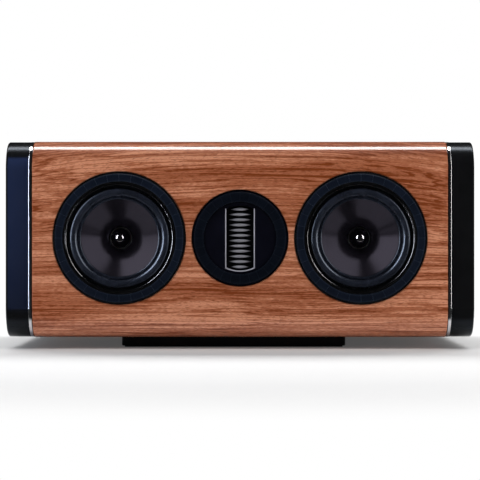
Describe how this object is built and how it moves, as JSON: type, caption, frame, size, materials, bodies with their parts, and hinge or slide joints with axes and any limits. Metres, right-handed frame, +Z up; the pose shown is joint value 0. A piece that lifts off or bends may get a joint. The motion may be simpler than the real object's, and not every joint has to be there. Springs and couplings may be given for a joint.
{
  "type": "center channel speaker",
  "caption": "Lying loudspeaker with a walnut wrap, dark end caps, woofers with segmented trim rings either side of a pleated tweeter, rear ports, a post terminal and a low plinth.",
  "frame": {"origin": "on the floor, under the middle of the cabinet", "axes": "+X along the cabinet to the right seen from the front, +Y to the rear, +Z up"},
  "size_m": [0.53, 0.3246, 0.2365],
  "materials": {
    "black_knob": "gloss black",
    "board_green": "bare board",
    "bright_trim": "polished",
    "cap_lacquer": "satin dark lacquer",
    "capacitor_film": "film wrapped",
    "cast_frame": "black coated casting",
    "cone_weave": "woven glass fibre, resin faced",
    "copper_wire": "enamelled copper",
    "faceplate_satin": "satin black anodised",
    "ferrite": "ground ferrite",
    "foil_film": "film with aluminium foil tracks",
    "gasket_foam": "closed cell foam",
    "gold_plate": "gold plated",
    "moulded_black": "moulded",
    "pad_rubber": "matt",
    "plinth_lacquer": "satin black lacquer",
    "plug_gloss": "high gloss black",
    "raw_board": "raw fibreboard",
    "rear_lacquer": "satin black lacquer",
    "red_knob": "clear coated red",
    "resistor_ceramic": "cement block",
    "ring_rubber": "satin",
    "soft_wadding": "loose fibre",
    "spider_cloth": "impregnated cloth",
    "steel": "zinc plated",
    "surround_rubber": "satin",
    "walnut_veneer": "clear lacquered walnut veneer"
  },
  "bodies": {
    "speaker": {"black_post_stud": "gold_plate", "cabinet_wrap": "walnut_veneer", "crossover_board": "board_green", "crossover_capacitors": "capacitor_film", "crossover_inductors": "copper_wire", "crossover_resistors": "resistor_ceramic", "crossover_standoffs": "moulded_black", "left_brace": "raw_board", "left_end_cap": "cap_lacquer", "left_port_tube": "moulded_black", "left_trim_band": "bright_trim", "left_woofer_basket": "cast_frame", "left_woofer_bright_ring": "bright_trim", "left_woofer_magnet": "ferrite", "left_woofer_phase_plug": "plug_gloss", "left_woofer_spider": "spider_cloth", "left_woofer_surround": "surround_rubber", "left_woofer_top_plate": "steel", "left_woofer_trim_ring": "ring_rubber", "left_woofer_yoke": "steel", "plinth": "plinth_lacquer", "plinth_pad": "pad_rubber", "plinth_screws": "steel", "post_nuts": "gold_plate", "rear_panel": "rear_lacquer", "red_post_stud": "gold_plate", "right_brace": "raw_board", "right_end_cap": "cap_lacquer", "right_port_tube": "moulded_black", "right_trim_band": "bright_trim", "right_woofer_basket": "cast_frame", "right_woofer_bright_ring": "bright_trim", "right_woofer_magnet": "ferrite", "right_woofer_phase_plug": "plug_gloss", "right_woofer_spider": "spider_cloth", "right_woofer_surround": "surround_rubber", "right_woofer_top_plate": "steel", "right_woofer_trim_ring": "ring_rubber", "right_woofer_yoke": "steel", "terminal_plate": "moulded_black", "terminal_screws": "steel", "tweeter_bezel": "bright_trim", "tweeter_diaphragm": "foil_film", "tweeter_faceplate": "faceplate_satin", "tweeter_housing": "steel", "tweeter_magnets": "ferrite", "tweeter_pole_plate": "steel", "tweeter_rear_chamber": "moulded_black", "tweeter_screws": "steel", "tweeter_trim_ring": "ring_rubber", "wadding": "soft_wadding", "woofer_gaskets": "gasket_foam", "woofer_screws": "steel"},
    "left_cone": {"left_woofer_cone": "cone_weave", "left_woofer_voice_coil": "copper_wire"},
    "right_cone": {"right_woofer_cone": "cone_weave", "right_woofer_voice_coil": "copper_wire"},
    "red_knob": {"red_post_knob": "red_knob"},
    "black_knob": {"black_post_knob": "black_knob"}
  },
  "joints": [
    {"name": "left_cone_stroke", "type": "slide", "parent": "speaker", "child": "left_cone", "axis": [0, -1, 0], "range_m": [-0.004, 0.004], "stiffness_N_per_m": 1200, "deforming": ["left_woofer_surround", "left_woofer_spider"]},
    {"name": "right_cone_stroke", "type": "slide", "parent": "speaker", "child": "right_cone", "axis": [0, -1, 0], "range_m": [-0.004, 0.004], "stiffness_N_per_m": 1200, "deforming": ["right_woofer_surround", "right_woofer_spider"]},
    {"name": "red_knob_turn", "type": "hinge", "parent": "speaker", "child": "red_knob", "pos_m": [-0.019, 0.165, 0.0845], "axis": [0, 1, 0], "range_deg": [0, 1080]},
    {"name": "black_knob_turn", "type": "hinge", "parent": "speaker", "child": "black_knob", "pos_m": [0.019, 0.165, 0.0845], "axis": [0, 1, 0], "range_deg": [0, 1080]}
  ]
}
